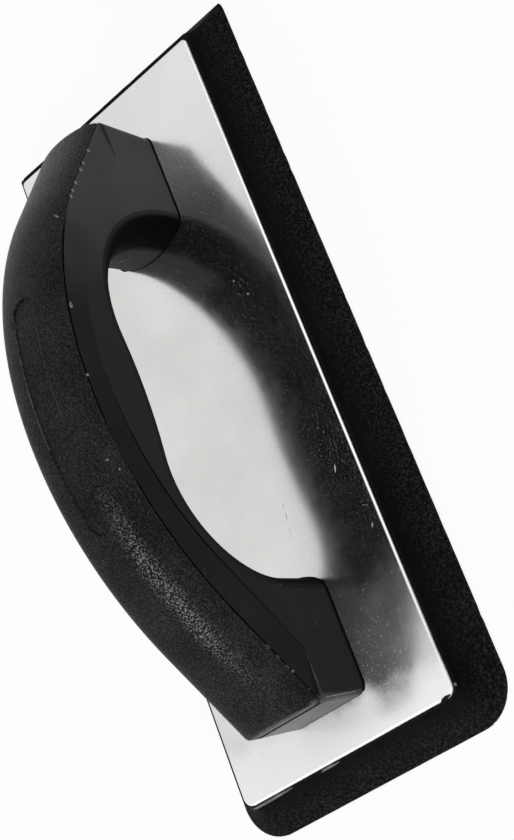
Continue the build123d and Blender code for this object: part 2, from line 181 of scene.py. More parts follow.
def moulded_rubber():
    """Black natural rubber, press moulded: dead matt, with an open grain that holds grey dust.

    There is next to no dust high on the flanks and more toward the sole. A faint grey line along
    the rim is a painted highlight.
    """
    material, tree = new_material("black_moulded_rubber")
    place = add(tree, "ShaderNodeTexCoord").outputs["Object"]
    blotch = add(tree, "ShaderNodeTexNoise", Vector=place, Scale=1 / (12 * MM), Detail=4.0)
    base = add(
        tree,
        "ShaderNodeValToRGB",
        stops=[(0.3, "#050505"), (0.7, "#0a0a0a")],
        Fac=blotch.outputs[0],
    )
    # The rubber's own grain is about 0.3 mm; it is drawn coarser, as fine as can still show
    grain = add(
        tree, "ShaderNodeTexNoise", Vector=place, Scale=1 / (0.8 * MM), Detail=4.0, Roughness=0.8
    )
    height = add(tree, "ShaderNodeSeparateXYZ", Vector=place)
    # From a twentieth of the dust at the plate to all of it at the sole
    zone = add(
        tree,
        "ShaderNodeMapRange",
        Value=height.outputs[2],
        From_Min=10 * MM,
        From_Max=2 * MM,
        To_Min=0.05,
        To_Max=1.0,
    )
    flecks = add(tree, "ShaderNodeMapRange", Value=grain.outputs[0], From_Min=0.47, From_Max=0.85)
    dust = add(tree, "ShaderNodeMath", MULTIPLY, i0=flecks.outputs[0], i1=zone.outputs[0])
    # Painted highlight: a faint grey line along the pad's top rim
    lightened = add(
        tree,
        "ShaderNodeMapRange",
        Value=height.outputs[2],
        From_Min=11.15 * MM,
        From_Max=11.4 * MM,
        To_Max=0.1,
    )
    greyed = add(tree, "ShaderNodeMath", MAXIMUM, i0=dust.outputs[0], i1=lightened.outputs[0])
    # Grey of the dust, and of the painted highlight on the rim
    colour = add(
        tree,
        "ShaderNodeMix",
        COLOURS,
        i0=greyed.outputs[0],
        i6=base.outputs[0],
        i7=linear("#424241"),
    )
    bump = add(tree, "ShaderNodeBump", Height=grain.outputs[0], Distance=0.14 * MM)
    shader = add(
        tree,
        "ShaderNodeBsdfPrincipled",
        Base_Color=colour.outputs[2],
        Roughness=0.7,
        Specular_IOR_Level=0.03,
        Normal=bump.outputs[0],
    )
    add(tree, "ShaderNodeOutputMaterial", Surface=shader.outputs[0])
    return material


def satin_steel():
    """Cold-rolled stainless sheet: a soft mirror, dulled where dry grout has been wiped off it.

    The haze is a thin film of dust. It gathers at both ends, where a cloth doesn't reach, and
    the heel end is scuffed as well, so what it mirrors is softer there.
    """
    material, tree = new_material("satin_cold_rolled_stainless")
    place = add(tree, "ShaderNodeTexCoord").outputs["Object"]
    cloud = add(tree, "ShaderNodeTexNoise", Vector=place, Scale=1 / (20 * MM), Detail=5.0)
    base = add(
        tree,
        "ShaderNodeValToRGB",
        stops=[(0.3, "#cececc"), (0.7, "#dadad8")],
        Fac=cloud.outputs[0],
    )
    along = add(tree, "ShaderNodeSeparateXYZ", Vector=place)
    smear = add(tree, "ShaderNodeTexNoise", Vector=place, Scale=1 / (5 * MM), Detail=5.0)
    satin = add(
        tree,
        "ShaderNodeMapRange",
        Value=smear.outputs[0],
        From_Min=0.3,
        From_Max=0.7,
        To_Min=0.12,
        To_Max=0.15,
    )
    # From the arch's heel side to the heel's end, shifted a little by the clouds
    heel_place = add(
        tree, "ShaderNodeMath", MULTIPLY_ADD, i0=cloud.outputs[0], i1=-40 * MM, i2=along.outputs[0]
    )
    scuffed = add(
        tree,
        "ShaderNodeMapRange",
        EASED,
        Value=heel_place.outputs[0],
        From_Min=-75 * MM,
        From_Max=-120 * MM,
    )
    rough = add(
        tree, "ShaderNodeMath", MULTIPLY_ADD, i0=scuffed.outputs[0], i1=0.07, i2=satin.outputs[0]
    )
    toe_film = add(
        tree,
        "ShaderNodeMapRange",
        EASED,
        Value=along.outputs[0],
        From_Min=55 * MM,
        From_Max=85 * MM,
        To_Min=0.004,
        To_Max=0.19,
    )
    # The film at the toe softens what the steel mirrors there
    softened = add(
        tree, "ShaderNodeMath", MULTIPLY_ADD, i0=toe_film.outputs[0], i1=0.32, i2=rough.outputs[0]
    )
    side_film = add(
        tree, "ShaderNodeMath", MULTIPLY_ADD, i0=scuffed.outputs[0], i1=0.1, i2=toe_film.outputs[0]
    )
    # Past the heel foot's end the film is thick enough to hide what the steel mirrors
    end_place = add(
        tree, "ShaderNodeMath", MULTIPLY_ADD, i0=smear.outputs[0], i1=-10 * MM, i2=along.outputs[0]
    )
    # It is thickest, and starts soonest, straight behind the foot
    behind = add(
        tree,
        "ShaderNodeMapRange",
        EASED,
        Value=along.outputs[1],
        From_Min=-20 * MM,
        From_Max=-12 * MM,
    )
    film_place = add(
        tree,
        "ShaderNodeMath",
        MULTIPLY_ADD,
        i0=behind.outputs[0],
        i1=-4.5 * MM,
        i2=end_place.outputs[0],
    )
    cover = add(
        tree,
        "ShaderNodeMapRange",
        EASED,
        Value=film_place.outputs[0],
        From_Min=-101 * MM,
        From_Max=-110 * MM,
    )
    thickness = add(tree, "ShaderNodeMath", MULTIPLY_ADD, i0=behind.outputs[0], i1=0.4, i2=0.4)
    film = add(
        tree,
        "ShaderNodeMath",
        MULTIPLY_ADD,
        i0=cover.outputs[0],
        i1=thickness.outputs[0],
        i2=side_film.outputs[0],
    )
    whitened = add(
        tree,
        "ShaderNodeMath",
        {"operation": "MULTIPLY_ADD", "use_clamp": True},
        i0=toe_film.outputs[0],
        i1=2.5,
        i2=cover.outputs[0],
    )
    pale = add(
        tree,
        "ShaderNodeMix",
        COLOURS,
        i0=whitened.outputs[0],
        i6=base.outputs[0],
        i7=linear("#f1f1ef"),
    )
    # Dust lies in drifts: a fine grain everywhere, and a speck in about one cell of four, most
    # of them faint. Its own grains are under 0.1 mm; both are drawn coarser, so that they show
    drifts = add(
        tree,
        "ShaderNodeMapRange",
        Value=cloud.outputs[0],
        From_Min=0.42,
        From_Max=0.58,
        To_Min=0.7,
        To_Max=1.0,
    )
    grain = add(tree, "ShaderNodeTexNoise", Vector=place, Scale=1 / (0.65 * MM), Detail=2.0)
    powder = add(
        tree,
        "ShaderNodeMapRange",
        Value=grain.outputs[0],
        From_Min=0.57,
        From_Max=0.75,
        To_Max=0.27,
    )
    cells = add(tree, "ShaderNodeTexVoronoi", Vector=place, Scale=1 / (1.1 * MM))
    speck = add(
        tree, "ShaderNodeMapRange", Value=cells.outputs["Distance"], From_Min=0.19, From_Max=0.1
    )
    chance = add(tree, "ShaderNodeSeparateColor", Color=cells.outputs["Color"])
    chosen = add(
        tree,
        "ShaderNodeMapRange",
        Value=chance.outputs[0],
        From_Min=0.76,
        From_Max=1.0,
        To_Max=0.42,
    )
    specks = add(
        tree,
        "ShaderNodeMath",
        MULTIPLY_ADD,
        i0=speck.outputs[0],
        i1=chosen.outputs[0],
        i2=powder.outputs[0],
    )
    pale_share = add(
        tree,
        "ShaderNodeMath",
        MULTIPLY_ADD,
        i0=specks.outputs[0],
        i1=drifts.outputs[0],
        i2=film.outputs[0],
    )
    bare = add(
        tree,
        "ShaderNodeMath",
        {"operation": "SUBTRACT", "use_clamp": True},
        i0=1.0,
        i1=pale_share.outputs[0],
    )
    shader = add(
        tree,
        "ShaderNodeBsdfPrincipled",
        Base_Color=pale.outputs[2],
        Metallic=bare.outputs[0],
        Roughness=softened.outputs[0],
    )
    add(tree, "ShaderNodeOutputMaterial", Surface=shader.outputs[0])
    return material


def smooth_plastic():
    """Polypropylene from a polished mould: satin black, with hairlines.

    Near the outer sides it is lighter toward the toe. The heel's end face is painted grey, a
    painted reflection.
    """
    material, tree = new_material("black_satin_polypropylene")
    place = add(tree, "ShaderNodeTexCoord").outputs["Object"]
    along = add(tree, "ShaderNodeSeparateXYZ", Vector=place)
    cloud = add(tree, "ShaderNodeTexNoise", Vector=place, Scale=1 / (16 * MM), Detail=4.0)
    # Near the outer sides the plastic is lighter toward the toe
    pale_share = add(
        tree,
        "ShaderNodeMapRange",
        EASED,
        Value=along.outputs[0],
        From_Min=10 * MM,
        From_Max=80 * MM,
        To_Max=0.7,
    )
    across = add(tree, "ShaderNodeMath", ABSOLUTE, i0=along.outputs[1])
    outer = add(
        tree, "ShaderNodeMapRange", Value=across.outputs[0], From_Min=12.4 * MM, From_Max=13.2 * MM
    )
    side_pale = add(tree, "ShaderNodeMath", MULTIPLY, i0=pale_share.outputs[0], i1=outer.outputs[0])
    mottled = add(
        tree, "ShaderNodeMath", MULTIPLY_ADD, i0=cloud.outputs[0], i1=0.5, i2=side_pale.outputs[0]
    )
    base = add(
        tree,
        "ShaderNodeValToRGB",
        stops=[(0.15, "#080808"), (0.32, "#101010"), (1.0, "#363636")],
        Fac=mottled.outputs[0],
    )
    # Hairlines drawn out along the handle and lying a little askew
    drawn = add(tree, "ShaderNodeMapping", Vector=place, Rotation=(0, 0.6, 0), Scale=(1, 1, 14))
    hair = add(tree, "ShaderNodeTexNoise", Vector=drawn.outputs[0], Scale=1 / (8 * MM), Detail=3.0)
    scratch = add(
        tree, "ShaderNodeMapRange", Value=hair.outputs[0], From_Min=0.70, From_Max=0.78, To_Max=0.5
    )
    colour = add(
        tree,
        "ShaderNodeMix",
        COLOURS,
        i0=scratch.outputs[0],
        i6=base.outputs[0],
        i7=linear("#333333"),
    )
    # Painted reflection: the heel's end face is painted grey with streaks, most of all on its far
    # half
    on_end = add(
        tree,
        "ShaderNodeMapRange",
        Value=along.outputs[0],
        From_Min=-97.4 * MM,
        From_Max=-98.4 * MM,
    )
    far_half = add(
        tree,
        "ShaderNodeMapRange",
        Value=along.outputs[1],
        From_Min=-14 * MM,
        From_Max=12 * MM,
        To_Min=-0.3,
        To_Max=0.5,
    )
    dragged = add(tree, "ShaderNodeMapping", Vector=place, Scale=(1, 0.2, 1))
    streaks = add(
        tree, "ShaderNodeTexNoise", Vector=dragged.outputs[0], Scale=1 / (1.8 * MM), Detail=3.0
    )
    streaked_reflection = add(
        tree, "ShaderNodeMath", MULTIPLY_ADD, i0=streaks.outputs[0], i1=1.4, i2=far_half.outputs[0]
    )
    end_reflection = add(
        tree,
        "ShaderNodeMath",
        {"operation": "MULTIPLY", "use_clamp": True},
        i0=streaked_reflection.outputs[0],
        i1=on_end.outputs[0],
    )
    # Grey of the painted reflection on the heel's end face
    finish = add(
        tree,
        "ShaderNodeMix",
        COLOURS,
        i0=end_reflection.outputs[0],
        i6=colour.outputs[2],
        i7=linear("#5c5c5a"),
    )
    orange_peel = add(tree, "ShaderNodeTexNoise", Vector=place, Scale=1 / (0.9 * MM), Detail=3.0)
    bump = add(tree, "ShaderNodeBump", Height=orange_peel.outputs[0], Distance=0.02 * MM)
    shader = add(
        tree,
        "ShaderNodeBsdfPrincipled",
        Base_Color=finish.outputs[2],
        Roughness=0.34,
        Specular_IOR_Level=0.08,
        Normal=bump.outputs[0],
    )
    add(tree, "ShaderNodeOutputMaterial", Surface=shader.outputs[0])
    return material


def shade_black_plastic():
    """Painted shade: a near-black, dead matt copy of the handle's plastic, so the arch's underside
    stays black.

    The far half of the toe foot's inner face is painted grey, a painted lit patch.
    """
    material, tree = new_material("painted_shade_black_polypropylene")
    place = add(tree, "ShaderNodeTexCoord").outputs["Object"]
    cloud = add(tree, "ShaderNodeTexNoise", Vector=place, Scale=1 / (6 * MM), Detail=4.0)
    base = add(
        tree,
        "ShaderNodeValToRGB",
        stops=[(0.3, "#040404"), (0.7, "#090909")],
        Fac=cloud.outputs[0],
    )
    along = add(tree, "ShaderNodeSeparateXYZ", Vector=place)
    # Painted light: a lit patch on the far half of the toe foot's inner face
    far_half = add(
        tree,
        "ShaderNodeMapRange",
        EASED,
        Value=along.outputs[1],
        From_Min=-5.0 * MM,
        From_Max=-2.0 * MM,
    )
    on_toe = add(
        tree, "ShaderNodeMapRange", Value=along.outputs[0], From_Min=46 * MM, From_Max=50 * MM
    )
    lit_patch = add(tree, "ShaderNodeMath", MULTIPLY, i0=far_half.outputs[0], i1=on_toe.outputs[0])
    # Next to the outer sides these faces are lighter too, more toward the toe, fading out over a
    # millimetre or so inward
    across = add(tree, "ShaderNodeMath", ABSOLUTE, i0=along.outputs[1])
    outer = add(
        tree,
        "ShaderNodeMapRange",
        EASED,
        Value=across.outputs[0],
        From_Min=13.9 * MM,
        From_Max=14.5 * MM,
    )
    toe_pale = add(
        tree,
        "ShaderNodeMapRange",
        EASED,
        Value=along.outputs[0],
        From_Min=40 * MM,
        From_Max=75 * MM,
        To_Min=0.3,
    )
    edge_pale = add(tree, "ShaderNodeMath", MULTIPLY, i0=outer.outputs[0], i1=toe_pale.outputs[0])
    lightened = add(tree, "ShaderNodeMath", MAXIMUM, i0=lit_patch.outputs[0], i1=edge_pale.outputs[0])
    # The bead along the plate stays black, a painted contact shadow
    off_plate = add(
        tree, "ShaderNodeMapRange", Value=along.outputs[2], From_Min=13.45 * MM, From_Max=13.6 * MM
    )
    greyed = add(tree, "ShaderNodeMath", MULTIPLY, i0=lightened.outputs[0], i1=off_plate.outputs[0])
    # Grey of the painted lit patch, and of the lighter faces next to the sides
    colour = add(
        tree,
        "ShaderNodeMix",
        COLOURS,
        i0=greyed.outputs[0],
        i6=base.outputs[0],
        i7=linear("#363635"),
    )
    bump = add(tree, "ShaderNodeBump", Height=cloud.outputs[0], Distance=0.05 * MM)
    shader = add(
        tree,
        "ShaderNodeBsdfPrincipled",
        Base_Color=colour.outputs[2],
        Roughness=0.6,
        Specular_IOR_Level=0.02,
        Normal=bump.outputs[0],
    )
    add(tree, "ShaderNodeOutputMaterial", Surface=shader.outputs[0])
    return material


def textured_plastic():
    """Polypropylene from a spark-eroded mould: fine pebbles, with painted sheen on their tops
    along a band and a painted highlight low on the heel end.
    """
    material, tree = new_material("black_spark_textured_polypropylene")
    place = add(tree, "ShaderNodeTexCoord").outputs["Object"]
    cloud = add(tree, "ShaderNodeTexNoise", Vector=place, Scale=1 / (14 * MM), Detail=4.0)
    # The real pebbles are about 0.3 mm; these are as fine as can still show one by one
    pebbles = add(
        tree, "ShaderNodeTexNoise", Vector=place, Scale=1 / (0.5 * MM), Detail=1.0, Roughness=0.6
    )
    mottled = add(
        tree, "ShaderNodeMath", MULTIPLY_ADD, i0=pebbles.outputs[0], i1=1.6, i2=cloud.outputs[0]
    )
    spread = add(tree, "ShaderNodeMapRange", Value=mottled.outputs[0], From_Min=0.6, From_Max=2.0)
    base = add(
        tree,
        "ShaderNodeValToRGB",
        stops=[(0.35, "#131313"), (0.65, "#242424"), (1.0, "#383838")],
        Fac=spread.outputs[0],
    )
    polish = add(
        tree,
        "ShaderNodeMapRange",
        Value=pebbles.outputs[0],
        From_Min=0.35,
        From_Max=0.65,
        To_Min=0.42,
        To_Max=0.27,
    )
    # Painted highlight: a strip low on the heel end, on the rolled lip, is painted grey, stopping
    # short of the lip's lowest half millimetre, which is left dark as shade
    along = add(tree, "ShaderNodeSeparateXYZ", Vector=place)
    at_end = add(
        tree,
        "ShaderNodeMapRange",
        Value=along.outputs[0],
        From_Min=-98.6 * MM,
        From_Max=-99.4 * MM,
        To_Max=0.9,
    )
    below = add(
        tree, "ShaderNodeMapRange", Value=along.outputs[2], From_Min=37.4 * MM, From_Max=35.6 * MM
    )
    above = add(
        tree, "ShaderNodeMapRange", Value=along.outputs[2], From_Min=33.8 * MM, From_Max=34.3 * MM
    )
    strip = add(tree, "ShaderNodeMath", MULTIPLY, i0=below.outputs[0], i1=above.outputs[0])
    end_highlight = add(tree, "ShaderNodeMath", MULTIPLY, i0=strip.outputs[0], i1=at_end.outputs[0])
    crests = add(
        tree,
        "ShaderNodeMapRange",
        Value=pebbles.outputs[0],
        From_Min=0.38,
        From_Max=0.62,
        To_Min=0.1,
        To_Max=0.75,
    )
    lightened = add(tree, "ShaderNodeMath", MULTIPLY, i0=end_highlight.outputs[0], i1=crests.outputs[0])
    # Painted sheen: the pebbles' tops are painted light in a band along the near shoulder toward
    # the heel
    off_shoulder = add(
        tree, "ShaderNodeMath", {"operation": "ADD"}, i0=along.outputs[1], i1=5.2 * MM
    )
    shoulder_gap = add(tree, "ShaderNodeMath", ABSOLUTE, i0=off_shoulder.outputs[0])
    shoulder = add(
        tree,
        "ShaderNodeMapRange",
        EASED,
        Value=shoulder_gap.outputs[0],
        From_Min=4.5 * MM,
        From_Max=0.0,
    )
    heelward = add(
        tree,
        "ShaderNodeMapRange",
        EASED,
        Value=along.outputs[0],
        From_Min=-25 * MM,
        From_Max=-60 * MM,
    )
    short_of_end = add(
        tree,
        "ShaderNodeMapRange",
        EASED,
        Value=along.outputs[0],
        From_Min=-94 * MM,
        From_Max=-70 * MM,
        To_Min=0.05,
    )
    stretch = add(
        tree, "ShaderNodeMath", MULTIPLY, i0=heelward.outputs[0], i1=short_of_end.outputs[0]
    )
    sheen_band = add(tree, "ShaderNodeMath", MULTIPLY, i0=shoulder.outputs[0], i1=stretch.outputs[0])
    tops = add(tree, "ShaderNodeMapRange", Value=pebbles.outputs[0], From_Min=0.50, From_Max=0.66)
    sheen_share = add(tree, "ShaderNodeMath", MULTIPLY_ADD, i0=sheen_band.outputs[0], i1=0.95, i2=0.05)
    painted_sheen = add(tree, "ShaderNodeMath", MULTIPLY, i0=tops.outputs[0], i1=sheen_share.outputs[0])
    greyed = add(tree, "ShaderNodeMath", MAXIMUM, i0=painted_sheen.outputs[0], i1=lightened.outputs[0])
    # Grey of the painted sheen and of the painted highlight on the heel end
    colour = add(
        tree,
        "ShaderNodeMix",
        COLOURS,
        i0=greyed.outputs[0],
        i6=base.outputs[0],
        i7=linear("#7c7c7a"),
    )
    bump = add(tree, "ShaderNodeBump", Height=pebbles.outputs[0], Distance=0.25 * MM)
    shader = add(
        tree,
        "ShaderNodeBsdfPrincipled",
        Base_Color=colour.outputs[2],
        Roughness=polish.outputs[0],
        Specular_IOR_Level=0.03,
        Normal=bump.outputs[0],
    )
    add(tree, "ShaderNodeOutputMaterial", Surface=shader.outputs[0])
    return material


def plain_material(name, size, detail, stops, relief=0.0, **finish):
    """A plain material: one noise pattern gives its colour, and its relief if it has any."""
    material, tree = new_material(name)
    place = add(tree, "ShaderNodeTexCoord").outputs["Object"]
    pattern = add(tree, "ShaderNodeTexNoise", Vector=place, Scale=1 / size, Detail=detail)
    base = add(tree, "ShaderNodeValToRGB", stops=stops, Fac=pattern.outputs[0])
    if relief:
        bump = add(tree, "ShaderNodeBump", Height=pattern.outputs[0], Distance=relief)
        finish["Normal"] = bump.outputs[0]
    shader = add(tree, "ShaderNodeBsdfPrincipled", Base_Color=base.outputs[0], **finish)
    add(tree, "ShaderNodeOutputMaterial", Surface=shader.outputs[0])
    return material


RUBBER = moulded_rubber()
STEEL = satin_steel()
SMOOTH = smooth_plastic()
SHADE_BLACK = shade_black_plastic()
GRIP = textured_plastic()
# Screw steel, zinc plated in a barrel: bright, slightly hazy and spangled
ZINC = plain_material(
    "barrel_zinc_plated_steel",
    0.6 * MM,
    3.0,
    [(0.3, "#aeb1b5"), (0.7, "#c2c5c9")],
    relief=0.01 * MM,
    Metallic=1.0,
    Roughness=0.35,
)
# Contact cement, brushed on and cured: grey, unevenly spread, with a dull skin
CEMENT = plain_material(
    "cured_contact_cement",
    3 * MM,
    4.0,
    [(0.3, "#4a4947"), (0.7, "#73716e")],
    relief=0.1 * MM,
    Roughness=0.55,
)
# Polypropylene stretched and torn: whitened by the strain, without a gloss; up the heel foot's
# near corner the same pale grey is a painted highlight
WHITENED_AND_HIGHLIGHT = plain_material(
    "stress_whitened_and_highlight_polypropylene",
    0.5 * MM,
    2.0,
    [(0.35, "#3c3c3c"), (0.65, "#8c8c8a")],
    Roughness=0.6,
    Specular_IOR_Level=0.2,
)
# Polypropylene greyed in patches, dull: on the foot's scratches the scratches' own grey, on the
# heel's ledge and corners and on the panel's rim a painted highlight
SCRATCH_AND_HIGHLIGHT = plain_material(
    "scratch_and_highlight_polypropylene",
    1.5 * MM,
    3.0,
    [(0.35, "#1a1a1a"), (0.65, "#4c4c4b")],
    Roughness=0.5,
    Specular_IOR_Level=0.1,
)

FINISHES = {
    "rubber_sole": RUBBER,
    "backing_plate": STEEL,
    "handle_body": SMOOTH,
    "handle_back": GRIP,
    "adhesive_film": CEMENT,
}
for name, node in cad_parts.items():
    node.data.materials.clear()
    node.data.materials.append(FINISHES.get(name, ZINC))

# ---------------------------------------------------------------- meshes: helpers

SHARP = math.radians(30)
FLAT = math.radians(0.3)
HAIR = 0.02 * MM     # how close two values count as one
WELD = 0.001 * MM    # how close two corners of the tessellation count as one
KNIFE = 0.1 * HAIR   # how close to a cut a corner counts as on it
LUMP_SWELL = 0.4     # how uneven a lump is
LUMP_BUMPS = 2.5     # and about how many swellings it has across it


def welded_copy(node_name):
    """A node's triangles joined into one mesh, with its flat faces made whole."""
    mesh = bmesh.new()
    mesh.from_mesh(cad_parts[node_name].data)
    bmesh.ops.remove_doubles(mesh, verts=mesh.verts, dist=WELD)
    bmesh.ops.dissolve_limit(mesh, angle_limit=FLAT, verts=mesh.verts, edges=mesh.edges)
    return mesh


def round_edges(mesh, edges, radius, segments):
    """Roll the given edges over, and give back what the bevel made."""
    return bmesh.ops.bevel(
        mesh,
        geom=edges,
        offset=radius,
        offset_type="OFFSET",
        segments=segments,
        profile=0.5,
        affect="EDGES",
        clamp_overlap=False,
        material=-1,
    )


def new_piece(name, mesh, material, slot, *nodes):
    """A finished mesh as a piece of the one body, standing for the CAD nodes named."""
    for face in mesh.faces:
        face.smooth = True
    for edge in mesh.edges:
        edge.smooth = edge.calc_face_angle(0) < SHARP
    data = bpy.data.meshes.new(name)
    mesh.to_mesh(data)
    mesh.free()
    data.materials.append(material)
    piece = bpy.data.objects.new(name, data)
    bpy.context.scene.collection.objects.link(piece)
    weighted = piece.modifiers.new("weighted", "WEIGHTED_NORMAL")
    weighted.keep_sharp = True
    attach(piece, ROOT)
    if nodes:
        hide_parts(*nodes)
    return piece


def lump(mesh, centre, size, turn, seed, rings=2, axis="Z"):
    """Add an uneven lump, drawn out to its size and turned about an axis."""
    verts = bmesh.ops.create_icosphere(mesh, subdivisions=rings, radius=0.5)["verts"]
    for vert in verts:
        swell = noise.noise(vert.co * LUMP_BUMPS + Vector((seed, 0, 0)))
        vert.co *= 1 + LUMP_SWELL * swell
    bmesh.ops.scale(mesh, vec=size, verts=verts)
    bmesh.ops.rotate(mesh, cent=(0, 0, 0), matrix=Matrix.Rotation(turn, 3, axis), verts=verts)
    bmesh.ops.translate(mesh, vec=centre, verts=verts)


# ---------------------------------------------------------------- rubber pad

pad_low, pad_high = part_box("rubber_sole")
plate_low, plate_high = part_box("backing_plate")


def flank_inset(share):
    """How far a flank has drawn in at a share of its height, with its slight hollow."""
    flare = plate_low.x - pad_low.x - PAD_LEDGE
    rise = pad_high.z - pad_low.z - PAD_LAND
    chord = math.hypot(flare, rise)
    return flare * share + 4 * FLANK_HOLLOW * share * (1 - share) * chord / rise


def rubber_pad():
    """Pad with flared, hollow flanks, its edges rubbed round and nicked."""
    pad = bmesh.new()
    bmesh.ops.create_grid(pad, x_segments=1, y_segments=1, size=0.5)
    bmesh.ops.scale(pad, vec=pad_high - pad_low, verts=pad.verts)
    centre = (pad_low + pad_high) / 2
    bmesh.ops.translate(pad, vec=(centre.x, centre.y, pad_low.z), verts=pad.verts)
    bmesh.ops.bevel(
        pad,
        geom=[vert for vert in pad.verts if vert.co.x < 0],
        offset=SOLE_HEEL_RADIUS,
        offset_type="OFFSET",
        segments=HEEL_ARC_STEPS,
        profile=0.5,
        affect="VERTICES",
        material=-1,
    )
    raised = bmesh.ops.extrude_face_region(pad, geom=pad.faces[:], use_keep_orig=True)["geom"]
    top = next(item for item in raised if isinstance(item, bmesh.types.BMFace))
    bmesh.ops.translate(pad, vec=(0, 0, PAD_LAND), verts=top.verts)
    pad.normal_update()
    rise = pad_high.z - pad_low.z - PAD_LAND
    for station in range(FLANK_STATIONS):
        here, there = station / FLANK_STATIONS, (station + 1) / FLANK_STATIONS
        bmesh.ops.inset_region(
            pad,
            faces=[top],
            thickness=flank_inset(there) - flank_inset(here),
            depth=rise / FLANK_STATIONS,
            use_even_offset=True,
            use_boundary=True,
        )
    bmesh.ops.recalc_face_normals(pad, faces=pad.faces)
    toe_corners = [
        edge
        for edge in pad.edges
        if edge.verts[0].co.x > 0 and abs(edge.verts[0].co.z - edge.verts[1].co.z) > HAIR
    ]
    round_edges(pad, toe_corners, SOLE_TOE_RADIUS, 3)
    for level, radius in ((pad_high.z, RIM_ROUND), (pad_low.z, FOOT_ROUND)):
        rim = [e for e in pad.edges if all(abs(v.co.z - level) < HAIR for v in e.verts)]
        round_edges(pad, [e for e in rim if e.calc_face_angle(0) > SHARP], radius, 3)
    for axis, low, high in ((0, pad_low.x, pad_high.x), (1, pad_low.y, pad_high.y)):
        cuts = int((high - low) / PAD_GRID)
        normal = Vector([float(axis == i) for i in range(3)])
        for cut in range(1, cuts):
            place = normal * (low + (high - low) * cut / cuts)
            everything = pad.verts[:] + pad.edges[:] + pad.faces[:]
            bmesh.ops.bisect_plane(
                pad, geom=everything, dist=KNIFE, plane_co=place, plane_no=normal
            )
    for vert in pad.verts:
        if vert.co.x > plate_high.x:
            share = (vert.co.z - pad_low.z) / (pad_high.z - pad_low.z)
            vert.co.x = min(vert.co.x + TOE_LEDGE_EXTRA * share, pad_high.x)
    wear_pad(pad)
    return pad


def wear_pad(pad):
    """Move the pad's skin inwards a little: a slow wander, and nicks along its edges."""
    pad.normal_update()
    moves = []
    for vert in pad.verts:
        level = abs(vert.normal.z) > 0.99
        near_edge = min(vert.co.z - pad_low.z, pad_high.z - vert.co.z) < FOOT_ROUND + HAIR
        wander = 0.5 + 0.5 * noise.noise(vert.co / PAD_WANDER_RUN)
        nick = noise.noise(vert.co / PAD_NICK_RUN) - PAD_NICK_START if near_edge else 0.0
        moves.append(0.0 if level else PAD_WANDER * wander + PAD_NICK * max(0.0, nick))
    for vert, move in zip(pad.verts, moves):
        vert.co -= vert.normal * move


new_piece("rubber_pad", rubber_pad(), RUBBER, "rubber", "rubber_sole")

# ---------------------------------------------------------------- adhesive squeezed out

# Beads on the heel's rim: middle across the plate, length, width
BEADS = ((30.5 * MM, 15.0 * MM, 0.95 * MM), (7.8 * MM, 6.5 * MM, 0.75 * MM))


def squeezed_beads():
    """Two thin beads along the heel's rim and a drop at the plate's near corner."""
    beads = bmesh.new()
    for seed, (across, length, width) in enumerate(BEADS):
        centre = (plate_low.x - PAD_LEDGE, across, pad_high.z - 0.1 * MM)
        lump(beads, centre, (width, length, 0.5 * MM), 0.02, seed, 4)
    drop = (plate_low.x + 2.6 * MM, plate_low.y - PAD_LEDGE, pad_high.z)
    lump(beads, drop, (0.9 * MM, 0.75 * MM, 0.7 * MM), 0.3, 7.0, 3)
    return beads


new_piece("squeezed_adhesive", squeezed_beads(), CEMENT, "adhesive")

# ---------------------------------------------------------------- rubber burr


def rubber_burr():
    """A tag of rubber that laps the plate's near heel corner."""
    burr = bmesh.new()
    centre = Vector((plate_low.x + 0.3 * MM, plate_low.y + 3.2 * MM, plate_high.z - 0.35 * MM))
    lump(burr, centre, (1.1 * MM, 3.8 * MM, 1.3 * MM), 0.25, 3.0, 3)
    return burr


new_piece("rubber_burr", rubber_burr(), RUBBER, "rubber")

# ---------------------------------------------------------------- plate


def rolled_plate():
    """The plate with its upper edge rolled over, as the shears leave it."""
    plate = welded_copy("backing_plate")
    rim = [
        edge
        for edge in plate.edges
        if all(abs(vert.co.z - plate_high.z) < HAIR for vert in edge.verts)
        and edge.calc_face_angle(0) > SHARP
        and (
            abs(edge.verts[0].co.y) > plate_high.y - PLATE_RIM
            or edge.verts[0].co.x > plate_high.x - PLATE_RIM
            or edge.verts[0].co.x < plate_low.x + PLATE_RIM
        )
    ]
    round_edges(plate, rim, PLATE_EDGE_ROUND, 4)
    return plate


new_piece("rolled_plate", rolled_plate(), STEEL, "plate_steel", "backing_plate")

# ---------------------------------------------------------------- handle

body_low, body_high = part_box("handle_body")
back_low, back_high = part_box("handle_back")
ledge = back_low.z - LEDGE_DROP   # top of the lower shell's feet, under the back shell's ends
lip_shadow_low = ledge - SEAM_HALF_WIDTH - LIP_SHADOW
screw_centres = [
    sum(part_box(name), Vector()) / 2 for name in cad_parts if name.startswith("screw")
]
BODY_EDGE = 13.9 * MM            # just outside the seam, on either side
ARCH_HALF_RUN = 72 * MM          # the arch's faces lie inside this, either way
TRUE_SIDE = 0.9995               # a normal this far along Y is one of the flat sides'
TRUE_END = 0.98                  # and this far along X, one of the flat ends'
END_REACH = 3 * MM               # the heel's end face lies inside this
CORNER_REACH = 4 * MM            # and its uprights inside this
CORNER_LEAN = (0.64, 0.76)       # how far their normals lean to the side


def sharp_edges(mesh, test):
    """Sharp outward edges whose two ends both pass a test of their place."""
    return [
        edge
        for edge in mesh.edges
        if edge.is_convex
        and edge.calc_face_angle(0) > SHARP
        and all(test(vert.co) for vert in edge.verts)
    ]


def clear_of_screws(place):
    """On a foot's outline, not on the rim of a screw's hole."""
    return all((place - centre).xy.length > SCREW_REACH for centre in screw_centres)


